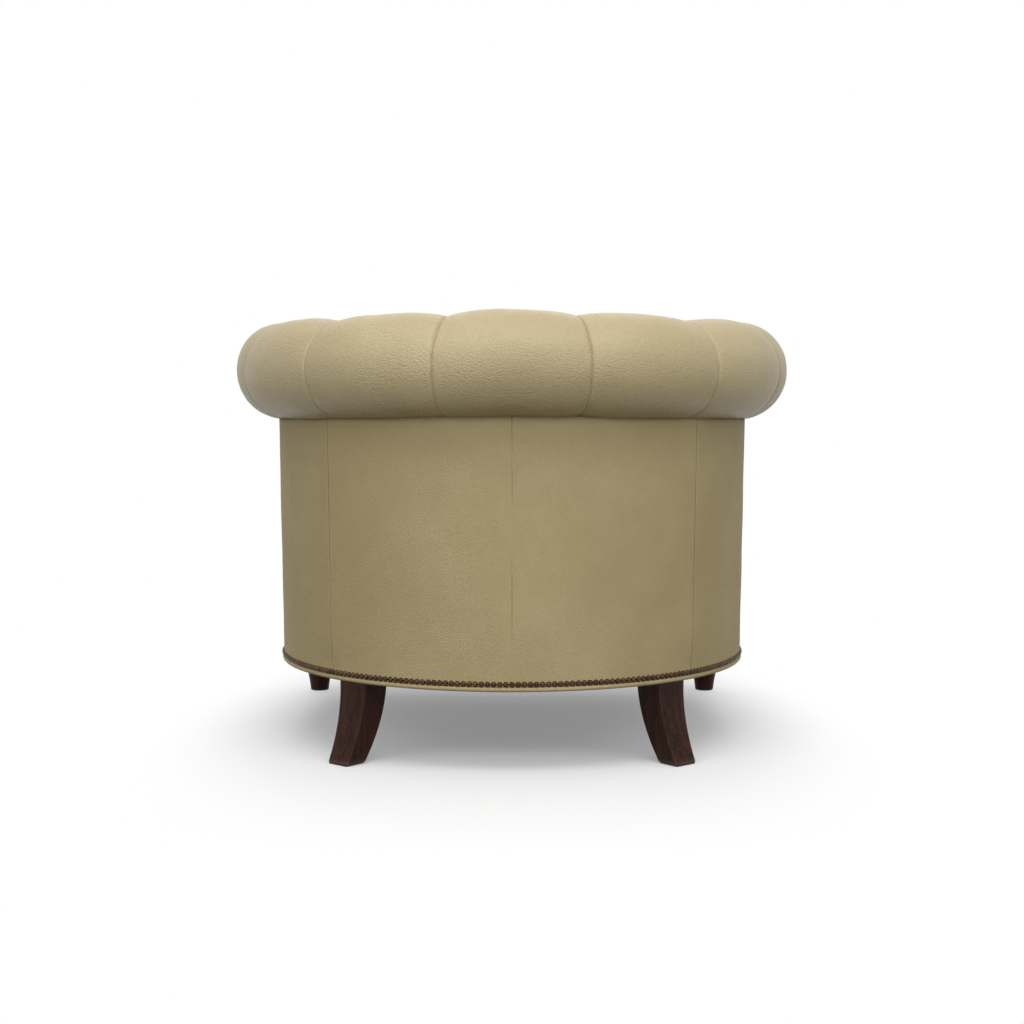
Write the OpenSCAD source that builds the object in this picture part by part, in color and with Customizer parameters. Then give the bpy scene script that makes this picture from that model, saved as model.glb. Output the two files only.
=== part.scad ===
// Low tub armchair with a rolled, pleated top, a button-tufted inside and turned front legs.
// Origin on the floor under the middle of the chair, +Z up, the sitter faces -Y.

/* [Tub] */
// Outside radius of the round back at its lower edge
wall_r = 414; // [380:1:440]
// How much wider the outside wall is at its top than at its lower edge
wall_flare = 6; // [0:1:10]
// Straight length of each arm, forward of the round back
arm_len = 390; // [340:1:440]
// Angle at which each arm opens outward to the front
arm_splay = 2; // [0:0.5:4]
// Height of the underside of the frame above the floor
leg_h = 134; // [110:1:160]

/* [Roll] */
// Radius of the padded roll
roll_r = 83; // [78:1:90]
// Height of the chair at the middle of the back
overall_h = 734; // [708:1:758]
// How far the middle of the roll lies inside the top of the wall
roll_inset = 10; // [4:1:16]
// Angle between two pleats of the round back
pleat_deg = 28; // [24:1:32]
// Number of pleats on each side of the middle
pleats = 6; // [5:1:7]
// Depth of a pleat seam in the roll
pleat_d = 9; // [4:1:12]
// Extra fullness of the panel at the middle of the back
crown = 5; // [0:1:8]

/* [Inside padding] */
// Distance from the middle of the tub to the inside face of an arm, at the seat
seat_half_w = 286; // [270:1:300]
// Extra padding behind the sitter at the seat
lumbar = 38; // [10:1:50]
// How far the top row of buttons lies below the middle of the roll
button_drop = 56; // [46:1:70]
// Height between two rows of buttons
button_rise = 78; // [66:1:84]
// Depth of the folds between the buttons
fold_d = 9; // [4:1:12]
// Extra depth of the padding at a button
button_d = 12; // [4:1:16]
// Diameter of a covered button
button_dia = 22; // [16:1:28]

/* [Seat] */
// Height of the top of the seat platform
deck_z = 330; // [310:1:345]
// Thickness of the seat cushion at its crown
cushion_h = 127; // [100:1:140]
// Thickness of the seat cushion at its edges
cushion_side = 104; // [80:1:112]
// Clearance between the seat cushion and the padding round it
cushion_gap = 3; // [2:0.5:6]

/* [Frame] */
// Thickness of the curved seat rail
seat_rail_t = 40; // [34:1:46]
// Thickness of the curved rail inside the roll
top_rail_t = 24; // [20:1:28]
// Thickness of the front rail
front_rail_t = 32; // [28:1:40]
// Height of the seat rails
rail_h = 100; // [80:1:120]
// Length of a glued block along its rail
block_len = 90; // [80:1:96]
// How far a back leg's block reaches in from the rail
block_in = 46; // [40:1:52]
// How much lower a glued block is than the rail
block_drop = 20; // [10:1:30]
// Angle of the uprights beside the middle of the back
back_upright_deg = 13; // [11:1:15]
// Angle of the uprights behind the round quarters
quarter_upright_deg = 62; // [58:1:66]
// How far the top rail reaches down behind the outside panels
top_rail_lap = 20; // [10:1:30]
// Width of an upright
upright_w = 50; // [40:1:60]
// Width of an elastic webbing strap
strap_w = 60; // [50:1:70]
// Thickness of an elastic webbing strap
strap_t = 1.6; // [1:0.2:3]
// Distance between the middles of two straps
strap_pitch = 105; // [95:1:110]

/* [Covers] */
// Thickness of the padded outside panels
panel_t = 4; // [3:0.5:6]
// Radius of the leather bead along the lower edge
bead_r = 4; // [3:0.5:5]
// Thickness of the facing on the front of an arm
facing_t = 14; // [10:1:20]
// Thickness of the padded front border
border_t = 12; // [8:1:14]
// Thickness of the dust cover
dust_t = 1; // [0.6:0.2:2]

/* [Legs] */
// Angle of a back leg round the tub, from straight back
back_leg_deg = 40.1; // [38:0.1:42]
// Width of a back leg where it meets the frame
back_leg_w = 59; // [50:1:62]
// Width of a back leg at the floor
back_foot_w = 46; // [38:1:50]
// Depth of a back leg at the floor
back_foot_d = 42; // [36:1:48]
// How far the back of a back leg runs outward down to the floor
back_splay = 35; // [10:1:45]
// How far the top of a back leg stands inside the wall
back_leg_inset = 6.5; // [4:0.5:12]
// How far a front leg's axis lies inside the outside wall
front_leg_inset = 14; // [10:1:24]
// Distance of a front leg's axis behind the front of the arms
front_leg_y = 22; // [18:1:24]
// Diameter of a front leg at the floor
front_foot_dia = 37; // [32:1:42]
// Largest diameter of a front leg
front_leg_dia = 52; // [46:1:54]
// Height of a glide
glide_h = 1; // [1:0.5:4]
// Diameter of a glide
glide_dia = 22; // [16:1:26]
// Diameter of a leg bolt
bolt_dia = 8; // [6:1:10]
// Length of a leg bolt inside the leg
bolt_down = 40; // [25:1:50]
// Length of a leg bolt inside the rail
bolt_up = 60; // [40:1:70]

/* [Hidden] */
$fn = 64;
// Clearance between pieces that touch
gap = 0.3;
// A length longer than the chair, for cutting
far = 1200;

leather = [0.66, 0.60, 0.46];
leather_dark = [0.57, 0.51, 0.38];
walnut = [0.16, 0.10, 0.08];
birch = [0.80, 0.66, 0.46];

wall_top_r = wall_r + wall_flare;
roll_c = wall_top_r - roll_inset;
roll_z = overall_h - crown - roll_r;
button_z = roll_z - button_drop;
plan_y = (arm_len + facing_t - roll_c - roll_r) / 2;
arm_front = plan_y - arm_len;
corner_deg = 90 - arm_splay;
base_z = leg_h;
rail_top = base_z + rail_h;
rail_out = wall_r - panel_t - gap;
seat_rail_in = rail_out - seat_rail_t;
top_rail_out = wall_top_r - panel_t - gap;
top_rail_in = top_rail_out - top_rail_t;
wall_top_z = roll_z - sqrt(pow(roll_r, 2) - pow(roll_inset, 2)) - 0.6;
panel_z = base_z + 2 * bead_r + gap;
join_z = button_z + 12;
side_seam_deg = 45.7;
slot_top = roll_z + roll_r * 0.55;
top_rail_z = wall_top_z - top_rail_lap;
corner_t = corner_deg / pleat_deg;
end_t = pleats - 0.5;
upright_out = rail_out - 1.5;
upright_in = top_rail_in;
pad_back = top_rail_in - 1.5;
web_z = rail_top;
pad_z = web_z + 2 * strap_t + gap;
back_leg_d = back_leg_w * 0.9;
front_leg_x = wall_r - front_leg_inset;
leg_out = wall_r - back_leg_inset;
back_bolt_r = leg_out - back_leg_d / 2 + 4;
hole_d = bolt_dia + 2 * gap;
strap_r = seat_rail_in + 14;

function clamp(v, low, high) = max(low, min(high, v));
function ease(v) = let(c = clamp(v, 0, 1)) c * c * (3 - 2 * c);
function flip(side) = side < 0 ? [1, 0, 0] : [0, 0, 0];

// A point of the tub's plan: t counts pleats from the middle of the back and r is the distance
// from the tub's centre. Past the round back, t runs along the straight arm to its front.
function place(t, r, z, set_in = 0) =
    let(a = clamp(t * pleat_deg, -corner_deg, corner_deg),
        part = clamp((abs(t) - corner_t) / (end_t - corner_t), 0, 1),
        run = part * (arm_len + (r - set_in) * cos(corner_deg)) / sin(corner_deg))
    [r * sin(a) + sign(t) * run * cos(corner_deg),
     plan_y + (r - set_in) * cos(a) - run * sin(corner_deg), z];

// Radius of the outside wall at a height.
function wall_at(z) = wall_r + wall_flare * (z - base_z) / (wall_top_z - base_z);

// Radius of the roll's inner side at a height.
function roll_inner(z) = roll_c - sqrt(max(0, pow(roll_r, 2) - pow(z - roll_z, 2)));

// Radius of the inside face at a height: full at the seat, drawn back under the roll.
function inside_at(z) =
    let(low = deck_z + 60)
    seat_half_w + (roll_inner(join_z) - seat_half_w) * pow(ease((z - low) / (join_z - low)), 1.3);

// Extra padding of the round back at a height.
function lumbar_at(z) = lumbar * (1 - ease((z - deck_z - cushion_h) / (join_z - deck_z - cushion_h)));

// Depth of a pleat seam at t, from 0 between two seams to 1 in a seam.
function seam(t) = pow(1 - abs(sin(180 * (t - 0.5))), 1.5);

// Depth of the tufted face: folds run from button to button in diamonds, v counts two rows.
function tuft(t, v) =
    let(w = clamp(v, 0, 1), p = 180 * (t - 0.5 + w), q = 180 * (t - 0.5 - w))
    fold_d * pow(1 - sqrt(abs(sin(p) * sin(q))), 1.5)
    + (v < 0 ? 0 : button_d * pow(abs(cos(p) * cos(q)), 6));

// Closed skin over rings of equal length, with flat ends.
module skin(rings) {
    n = len(rings[0]);
    m = len(rings);
    sides = [for (i = [0:m - 2], k = [0:n - 1]) let(a = i * n + k, b = i * n + (k + 1) % n)
        each (i + k) % 2 == 0 ? [[a, b, a + n], [b, b + n, a + n]] : [[a, b, b + n], [a, b + n, a + n]]];
    ends = [[for (k = [n - 1:-1:0]) k], [for (k = [0:n - 1]) (m - 1) * n + k]];
    polyhedron(points = [for (r = rings) each r], faces = concat(sides, ends), convexity = 6);
}

// Sweeps a profile of radius and height round the back, from angle a to angle b.
module round_sweep(a, b)
    translate([0, plan_y, 0]) rotate([0, 0, 90 - b]) rotate_extrude(angle = b - a) children();

// Sweeps a profile of radius and height along one arm, up to a distance behind its front.
module arm_sweep(front = 0)
    intersection() {
        translate([0, plan_y, 0]) rotate([0, 0, arm_splay]) rotate([90, 0, 0])
            linear_extrude(height = arm_len * 1.2) children();
        translate([0, arm_front + front, -far]) cube([far, far, 2 * far]);
    }

// Sweeps a profile round the whole tub, from one arm's front to the other's.
module tub_sweep(front = 0) {
    round_sweep(-corner_deg, corner_deg) children();
    for (side = [-1, 1]) mirror(flip(side)) arm_sweep(front) children();
}

module ring_profile(r_in, r_out, z0, z1) translate([r_in, z0]) square([r_out - r_in, z1 - z0]);

// Puts children, drawn with +Y outward at the origin, at an angle round the tub.
module at_angle(a, r = 0) translate([0, plan_y, 0]) rotate([0, 0, -a]) translate([0, r, 0]) children();

// Puts children at a distance forward along one arm.
module at_arm(run, r = 0)
    translate([0, plan_y, 0]) rotate([0, 0, arm_splay - 90]) translate([run, r, 0]) children();

// Distance from the middle plane, at the front of an arm, of what lies at radius r.
function front_x(r, behind = 0) = (r + (arm_len - behind) * cos(corner_deg)) / sin(corner_deg);

module bolt_axes(z)
    for (side = [-1, 1]) mirror(flip(side)) {
        at_angle(back_leg_deg, back_bolt_r) translate([0, 0, z]) children();
        translate([front_leg_x, arm_front + front_leg_y, z]) children();
    }

// Curved seat rail of laminated wood, open at the front, with holes for the back legs' bolts.
module seat_rail() color(birch)
    difference() {
        tub_sweep(front_rail_t) ring_profile(seat_rail_in, rail_out, base_z, rail_top);
        bolt_axes(base_z - 1) cylinder(d = hole_d, h = bolt_up + 2);
    }

module front_rail() color(birch)
    let(half = front_x(rail_out, front_rail_t) - gap)
    difference() {
        translate([-half, arm_front, base_z]) cube([2 * half, front_rail_t, rail_h]);
        bolt_axes(base_z - 1) cylinder(d = hole_d, h = bolt_up + 2);
    }

// Glued block behind a back leg.
module back_block() color(birch)
    intersection() {
        at_angle(back_leg_deg) translate([-block_len / 2, seat_rail_in - block_in, base_z])
            cube([block_len, block_in + 14, rail_h - block_drop]);
        translate([0, plan_y, 0]) cylinder(r = seat_rail_in - gap, h = rail_top);
    }

// Glued corner block between the front rail and the seat rail.
module front_block() color(birch)
    let(x = front_x(seat_rail_in, front_rail_t + block_len) - 1, y = arm_front + front_rail_t,
        far_side = block_len - 5, near_side = block_len / 4)
    translate([0, 0, base_z]) linear_extrude(height = rail_h - block_drop)
        polygon([[x, y], [x, y + far_side], [x - near_side, y + far_side],
            [x - far_side, y + near_side], [x - far_side, y]]);

// Upright between the seat rail and the top rail.
module upright() color(birch)
    translate([-upright_w / 2, upright_in, rail_top])
        cube([upright_w, upright_out - upright_in, top_rail_z - rail_top]);

// Curved top rail that the roll is built over.
module top_rail() color(birch)
    tub_sweep() ring_profile(top_rail_in, top_rail_out, top_rail_z, slot_top - gap);

function strap_reach(off) = sqrt(pow(strap_r, 2) - pow(max(0, off), 2));

module webbing_lengthwise() color("dimgray")
    for (i = [-2:2]) let(x = i * strap_pitch, y0 = arm_front + front_rail_t / 8)
        translate([x - strap_w / 2, y0, web_z])
            cube([strap_w, plan_y + strap_reach(abs(x)) - y0, strap_t]);

module webbing_crosswise() color("dimgray")
    for (i = [0:4])
        let(y = arm_front + front_rail_t + 50 + i * strap_pitch, half = strap_reach(y + strap_w / 2 - plan_y))
        translate([-half, y - strap_w / 2, web_z + strap_t]) cube([2 * half, strap_w, strap_t]);

// Foam platform that fills the tub under the seat cushion.
module seat_platform() color("lightyellow")
    translate([0, 0, pad_z]) linear_extrude(height = deck_z - pad_z)
        polygon([for (t = [-end_t:0.25:end_t]) let(p = place(t, seat_half_w - gap, 0, lumbar)) [p[0], p[1]]]);

// Padded front border under the seat, between the facings of the arms.
module front_border() color(leather)
    let(half = front_x(seat_half_w) - gap)
    translate([-half, arm_front - border_t, base_z]) cube([2 * half, border_t, deck_z - base_z]);

// Height of a row of the tufting: v is 0 at the top row of buttons and 1 two rows below.
function row_z(v) = button_z - v * 2 * button_rise;

// Points of the inside padding's section at t, from its lower edge up to the roll and back down.
function pad_ring(t) = let(rows = [for (k = [8:-1:0]) k / 8])
    concat(
        [place(t, seat_half_w + tuft(t, 1), pad_z, lumbar)],
        [for (v = rows) let(z = row_z(v)) place(t, inside_at(z) + tuft(t, v), z, lumbar_at(z))],
        [place(t, roll_inner(join_z) + tuft(t, -1), join_z - gap),
         place(t, pad_back, join_z - gap), place(t, pad_back, pad_z)]);

// Button-tufted padding inside the back and the arms.
module inside_padding() color(leather)
    skin([for (i = [-8 * end_t:8 * end_t]) pad_ring(i / 8)]);

// Low dome on a flat round base, with +Z up from its base.
module dome(d, h) {
    cylinder(d = d, h = h * 0.3);
    translate([0, 0, h * 0.3]) cylinder(d1 = d, d2 = d * 0.8, h = h * 0.35);
    translate([0, 0, h * 0.65]) cylinder(d1 = d * 0.8, d2 = d * 0.35, h = h * 0.35);
}

// Covered buttons at the crossings of the folds, sunk until their rims meet the padding.
module tufting_buttons() color(leather_dark)
    for (row = [0, 1], i = [1 - pleats:pleats - 2 + row]) let(t = i + (1 - row) / 2, z = row_z(row / 2),
        a = clamp(t * pleat_deg, -corner_deg, corner_deg),
        sunk = (fold_d + button_d) * 0.45 - lumbar_at(z) * 0.142 * pow(cos(a), 2))
        translate(place(t, inside_at(z) + sunk, z, lumbar_at(z)))
            rotate([0, 0, -a]) rotate([90, 0, 0]) dome(button_dia, button_dia * 0.3);

// Points of the roll's section at t: once round the padding, then round the slot for the rail.
function roll_ring(t) =
    let(slot_out = top_rail_out / cos(0.15 * pleat_deg) + gap, slot_in = top_rail_in - gap,
        a0 = -acos((slot_out - roll_c) / roll_r), a1 = 180 - asin((join_z - roll_z) / roll_r),
        angles = concat([for (k = [0:3]) a0 * (1 - k / 4)], [for (k = [0:3]) k * 22.5],
            [for (k = [0:5]) 90 + (a1 - 90) * k / 5]),
        rise = crown * (1 + cos(120 * t)) / 2)
    concat(
        [for (a = angles) let(depth = pleat_d * seam(t) * ease((a - a0) / 60), r = roll_r - depth)
            place(t, roll_c + r * cos(a), roll_z + r * sin(a) + rise * max(0, sin(a)))],
        [place(t, slot_in, join_z), place(t, slot_in, slot_top), place(t, slot_out, slot_top)]);

// Padded roll with a pleat seam between each two panels.
module roll_padding() color(leather)
    let(offsets = [0, 0.07, 0.2, 0.5, 0.8, 0.93])
    skin([for (i = [0:2 * pleats - 2]) each [for (o = offsets) roll_ring(-end_t + i + o)],
        roll_ring(end_t)]);

module wall_profile() polygon([
    [wall_at(panel_z) - panel_t, panel_z], [wall_at(panel_z), panel_z],
    [wall_at(wall_top_z), wall_top_z], [wall_at(wall_top_z) - panel_t, wall_top_z]]);

// Outside back panel, from the seam down the middle to the seam at the quarter.
module outside_back() color(leather) round_sweep(0.05, side_seam_deg - 0.05) wall_profile();

// Outside arm panel, from the seam at the quarter to the front of the arm.
module outside_arm() color(leather) {
    round_sweep(side_seam_deg + 0.05, corner_deg) wall_profile();
    arm_sweep() wall_profile();
}

// Half-round leather bead under the outside panels.
module base_bead() color(leather)
    tub_sweep() intersection() {
        translate([wall_r - 1.2, base_z + bead_r]) circle(r = bead_r);
        translate([rail_out + gap, base_z]) square([2 * bead_r, 2 * bead_r]);
    }

// Scroll-shaped facing on the front of an arm: round on the roll, tapered down to the rail.
module facing_outline(inset)
    union() {
        translate([front_x(roll_c), roll_z]) circle(r = roll_r - 3 - inset);
        polygon(concat(
            [for (z = [base_z + inset, roll_z]) [front_x(wall_at(min(z, wall_top_z))) - 1 - inset, z]],
            [for (k = [0:10]) let(z = join_z - 6 + (deck_z - join_z + 6) * k / 10)
                [front_x(inside_at(z)) + 1 + inset, z]],
            [[front_x(seat_half_w) + 1 + inset, base_z + inset]]));
    }

module arm_facing() color(leather)
    translate([0, arm_front - gap, 0]) rotate([90, 0, 0])
        linear_extrude(height = facing_t - gap) facing_outline(0);

// Dust cover tacked under the frame, cut away round the legs.
module dust_cover() color([0.1, 0.1, 0.1])
    let(inset = 8, leg_clear = 3)
    difference() {
        translate([0, 0, base_z - dust_t]) linear_extrude(height = dust_t)
            polygon([for (t = [-end_t:0.25:end_t]) let(p = place(t, rail_out - inset, 0)) [p[0], p[1]]]);
        for (side = [-1, 1]) mirror(flip(side)) {
            at_angle(back_leg_deg)
                translate([-back_leg_w / 2 - leg_clear, leg_out - back_leg_d - leg_clear, 0])
                cube([back_leg_w + 2 * leg_clear, far, far]);
            translate([front_leg_x, arm_front + front_leg_y, 0])
                cylinder(d = front_leg_dia + 2 * leg_clear, h = far);
            translate([front_leg_x, arm_front - far + front_leg_y, 0]) cube([far, far, far]);
        }
    }

// Outline of the seat cushion at a share of its size, at one height.
function cushion_loop(share, z) =
    let(cy = arm_front + (plan_y + seat_half_w - lumbar - arm_front) / 2,
        arc = [for (t = [-end_t:0.5:end_t]) place(t, seat_half_w - cushion_gap, z, lumbar)],
        front = [for (k = [1:7]) let(x = front_x(seat_half_w - cushion_gap) * (1 - k / 4))
            [x, arm_front - facing_t / 2 + 4 * cos(90 * (1 - k / 4)) , z]])
    [for (p = concat(arc, front)) [p[0] * share, cy + (p[1] - cy) * share, z]];

// Loose seat cushion with a crown and drawn-in sides.
module seat_cushion() color(leather)
    let(z0 = deck_z + gap, side = cushion_side, up = cushion_h - cushion_side,
        steps = [[0.6, 0], [0.95, 0], [0.99, 0.08], [1, 0.16], [0.985, 0.5], [1, 0.84]],
        crowns = [[0.99, 0.94], [0.95, 1]])
    skin(concat([for (s = steps) cushion_loop(s[0], z0 + side * s[1])],
        [for (s = crowns) cushion_loop(s[0], z0 + side * s[1])],
        [for (k = [1:5]) cushion_loop(0.95 - 0.15 * k, z0 + side + (up - gap) * sin(18 * k))]));

// Sabre back leg: square in section, swept outward and tapered to the floor.
module back_leg() color(walnut)
    let(h = base_z - glide_h, steps = 10,
        fall = [for (k = [0:steps]) [base_z - h * k / steps, pow(k / steps, 2)]])
    difference() {
        at_angle(back_leg_deg) intersection() {
            rotate([90, 0, 90]) linear_extrude(height = 2 * back_leg_w, center = true)
                polygon(concat([for (f = fall) [leg_out + back_splay * f[1], f[0]]],
                    [for (k = [steps:-1:0]) let(f = fall[k])
                        [leg_out - back_leg_d + (back_splay + back_leg_d - back_foot_d) * f[1], f[0]]]));
            rotate([90, 0, 0]) linear_extrude(height = 2 * far, center = true)
                polygon([[-back_leg_w / 2, base_z], [back_leg_w / 2, base_z],
                    [back_foot_w / 2, glide_h], [-back_foot_w / 2, glide_h]]);
        }
        at_angle(back_leg_deg, back_bolt_r) translate([0, 0, base_z - bolt_down - 1])
            cylinder(d = hole_d, h = bolt_down + 2);
    }

// Turned front leg: flared foot, vase, neck, ring and a round block under the rail.
module front_leg() color(walnut)
    let(h = base_z - glide_h, foot = front_foot_dia / 2, big = front_leg_dia / 2, neck = big * 0.66,
        calf = foot + 0.7 * (big - foot))
    translate([front_leg_x, arm_front + front_leg_y, glide_h]) difference() {
        rotate_extrude() polygon(concat(
            [[0, 0]],
            [for (k = [0:4]) [foot + (calf - foot) * pow(k / 4, 1.4), h * 0.26 * k / 4]],
            [for (k = [1:3]) [calf + (big - calf) * sin(30 * k), h * (0.26 + 0.18 * k / 3)]],
            [for (k = [1:5]) [neck + (big - neck) * (1 + cos(36 * k)) / 2, h * (0.44 + 0.24 * k / 5)]],
            [[neck, h * 0.72]],
            [for (k = [0:6])
                [neck + 1 + (big - neck - 3) * sin(30 * k), h * (0.73 + 0.035 * (1 - cos(30 * k)))]],
            [[neck, h * 0.81], [neck, h * 0.84], [big - 1, h * 0.87], [big - 1, h], [0, h]]));
        translate([0, 0, h - bolt_down - 1]) cylinder(d = hole_d, h = bolt_down + 2);
    }

// Bolts that hold the legs to the rails.
module leg_bolts() color("silver")
    bolt_axes(base_z - bolt_down) cylinder(d = bolt_dia, h = bolt_up + bolt_down);

// Glides under the four feet.
module glides() color("dimgray")
    for (side = [-1, 1]) mirror(flip(side)) {
        at_angle(back_leg_deg, leg_out + back_splay - back_foot_d / 2) cylinder(d = glide_dia, h = glide_h);
        translate([front_leg_x, arm_front + front_leg_y, 0]) cylinder(d = glide_dia, h = glide_h);
    }

module both(side) mirror(flip(side)) children();

seat_rail();
front_rail();
both(1) back_block();  // back_block_left
both(-1) back_block();  // back_block_right
both(1) front_block();  // front_block_left
both(-1) front_block();  // front_block_right
both(1) at_arm(arm_len - upright_w / 2 - 2) upright();  // arm_post_left
both(-1) at_arm(arm_len - upright_w / 2 - 2) upright();  // arm_post_right
both(1) at_arm(arm_len * 0.38) upright();  // side_upright_left
both(-1) at_arm(arm_len * 0.38) upright();  // side_upright_right
both(1) at_angle(quarter_upright_deg) upright();  // quarter_upright_left
both(-1) at_angle(quarter_upright_deg) upright();  // quarter_upright_right
both(1) at_angle(back_upright_deg) upright();  // back_upright_left
both(-1) at_angle(back_upright_deg) upright();  // back_upright_right
top_rail();
webbing_lengthwise();
webbing_crosswise();
seat_platform();
front_border();
inside_padding();
tufting_buttons();
roll_padding();
both(1) outside_back();  // outside_back_left
both(-1) outside_back();  // outside_back_right
both(1) outside_arm();  // outside_arm_left
both(-1) outside_arm();  // outside_arm_right
base_bead();
both(1) arm_facing();  // arm_facing_left
both(-1) arm_facing();  // arm_facing_right
dust_cover();
seat_cushion();
both(1) back_leg();  // back_leg_left
both(-1) back_leg();  // back_leg_right
both(1) front_leg();  // front_leg_left
both(-1) front_leg();  // front_leg_right
leg_bolts();
glides();
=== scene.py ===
import math

import bmesh
import bpy
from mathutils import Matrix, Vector, noise


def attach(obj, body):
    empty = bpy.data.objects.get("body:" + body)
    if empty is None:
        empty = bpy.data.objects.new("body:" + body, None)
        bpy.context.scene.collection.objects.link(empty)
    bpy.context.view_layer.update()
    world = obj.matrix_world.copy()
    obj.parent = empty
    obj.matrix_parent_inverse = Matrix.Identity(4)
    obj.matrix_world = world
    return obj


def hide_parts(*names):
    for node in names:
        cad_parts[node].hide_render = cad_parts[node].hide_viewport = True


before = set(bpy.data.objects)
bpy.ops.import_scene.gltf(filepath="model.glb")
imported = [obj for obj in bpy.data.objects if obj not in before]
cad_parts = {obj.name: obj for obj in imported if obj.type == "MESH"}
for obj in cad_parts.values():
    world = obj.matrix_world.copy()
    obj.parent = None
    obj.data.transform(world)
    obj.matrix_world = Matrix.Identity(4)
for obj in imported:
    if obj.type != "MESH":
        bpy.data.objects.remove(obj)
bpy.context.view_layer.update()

# The photograph's view: a long lens low behind the chair, level with the underside of the roll.
# The chair stands on a pale floor that runs out to white, so the camera sees no horizon.
photo_pixels = 1024
focal_pixels = 1550
horizon_row = 417
tub_y = -0.0445
wall_radius = 0.414
camera_distance = 2.418
camera_height = 0.5667

camera = bpy.data.objects.new("camera", bpy.data.cameras.new("camera"))
bpy.context.scene.collection.objects.link(camera)
camera.data.sensor_width = 36
camera.data.lens = focal_pixels * camera.data.sensor_width / photo_pixels
camera.data.clip_end = 100
camera_pitch = math.atan((photo_pixels / 2 - horizon_row) / focal_pixels)
camera.location = (0, tub_y + wall_radius + camera_distance, camera_height)
camera.rotation_euler = (math.pi / 2 - camera_pitch, 0, math.pi)
bpy.context.scene.camera = camera
bpy.context.scene.view_settings.view_transform = "Standard"

# The floor is a wide sheet of matt board. Light Path makes it run out to white for the camera
# and in mirrored rays, while it keeps the soft shadow of the chair. The run-out is an oval round
# the chair, measured where the board is narrowed to a circle.
floor_size = 60
floor_lift = 0.22
floor_narrowing = (1.6, 0.9, 1.0)
shadow_reach = 0.56
white_reach = 1.02
black = (0.0, 0.0, 0.0, 1.0)
white = (1.0, 1.0, 1.0, 1.0)
bpy.ops.mesh.primitive_plane_add(size=floor_size)
floor = bpy.context.object
floor.name = "floor"


class Wire:
    """A socket in a material's nodes; arithmetic on it adds the nodes that work it out."""

    def __init__(self, tree, socket=None):
        self.tree = tree
        self.socket = socket

    def node(self, kind, settings=None, inputs=None, output=0):
        """A new node of a type, with its settings and the values or wires of its inputs."""
        made = self.tree.nodes.new(kind)
        for name, value in (settings or {}).items():
            setattr(made, name, value)
        for name, value in (inputs or {}).items():
            if isinstance(value, Wire):
                self.tree.links.new(value.socket, made.inputs[name])
            else:
                made.inputs[name].default_value = value
        return Wire(self.tree, made.outputs[output])

    def sum_of(self, operation, first, second):
        """Works with colours and vectors where one side is such a wire, otherwise with numbers."""
        values = {0: first, 1: second}
        if any(isinstance(v, Wire) and v.socket.type in ("VECTOR", "RGBA") for v in values.values()):
            values = {k: (v,) * 3 if isinstance(v, (int, float)) else v for k, v in values.items()}
            return self.node("ShaderNodeVectorMath", {"operation": operation}, values)
        return self.node("ShaderNodeMath", {"operation": operation}, values)

    def __add__(self, other):
        return self.sum_of("ADD", self, other)

    def __radd__(self, other):
        return self.sum_of("ADD", other, self)

    def __sub__(self, other):
        return self.sum_of("SUBTRACT", self, other)

    def __rsub__(self, other):
        return self.sum_of("SUBTRACT", other, self)

    def __mul__(self, other):
        return self.sum_of("MULTIPLY", self, other)

    def __rmul__(self, other):
        return self.sum_of("MULTIPLY", other, self)

    def ramp(self, low, high):
        """0 up to low, 1 from high on, and a soft step between."""
        settings = {"interpolation_type": "SMOOTHSTEP"}
        return self.node("ShaderNodeMapRange", settings, {"Value": self, "From Min": low, "From Max": high})

    def mix(self, first, second):
        """The first colour where this wire is 0 and the second where it is 1."""
        settings = {"data_type": "RGBA"}
        return self.node("ShaderNodeMix", settings, {0: self, 6: first, 7: second}, output=2)


def srgb(red, green, blue):
    """A colour picked as 0 to 255 steps, as Blender's linear light."""
    steps = [c / 255 for c in (red, green, blue)]
    return tuple(c / 12.92 if c <= 0.04045 else ((c + 0.055) / 1.055) ** 2.4 for c in steps) + (1,)


def finish(name, **constants):
    """A new material: its shader, and a wire to start its nodes from."""
    material = bpy.data.materials.new(name)
    material.use_nodes = True
    shader = material.node_tree.nodes["Principled BSDF"]
    for socket, value in constants.items():
        shader.inputs[socket.replace("_", " ")].default_value = value
    return material, shader, Wire(material.node_tree)


def feed(shader, **wires):
    """Joins wires to the shader's sockets, which are named with _ for a blank."""
    for socket, wire in wires.items():
        wire.tree.links.new(wire.socket, shader.inputs[socket.replace("_", " ")])


floor_tone = srgb(216, 216, 217)
floor_bounce = srgb(112, 111, 108)


def seen_directly(board):
    """1 for the camera and for mirrored or refracted rays, otherwise 0."""
    masks = [board.node("ShaderNodeLightPath", output=name)
             for name in ("Is Camera Ray", "Is Glossy Ray", "Is Transmission Ray")]
    return masks[0].sum_of("MAXIMUM", masks[0].sum_of("MAXIMUM", masks[0], masks[1]), masks[2])


floor_board, board_shader, board = finish(
    "floor_board", Roughness=0.95, Specular_IOR_Level=0.0, Emission_Strength=1.0)
spot = board.node("ShaderNodeNewGeometry", output="Position")
oval = spot * floor_narrowing
away = board.node("ShaderNodeVectorMath", {"operation": "LENGTH"}, {0: oval}, output="Value")
white_run = away.ramp(shadow_reach, white_reach)
seen = seen_directly(board)
feed(board_shader,
     Base_Color=white_run.mix(seen.mix(floor_bounce, floor_tone), black),
     Emission_Color=seen * white_run.mix((floor_lift,) * 3 + (1,), white))
floor.data.materials.append(floor_board)

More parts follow.
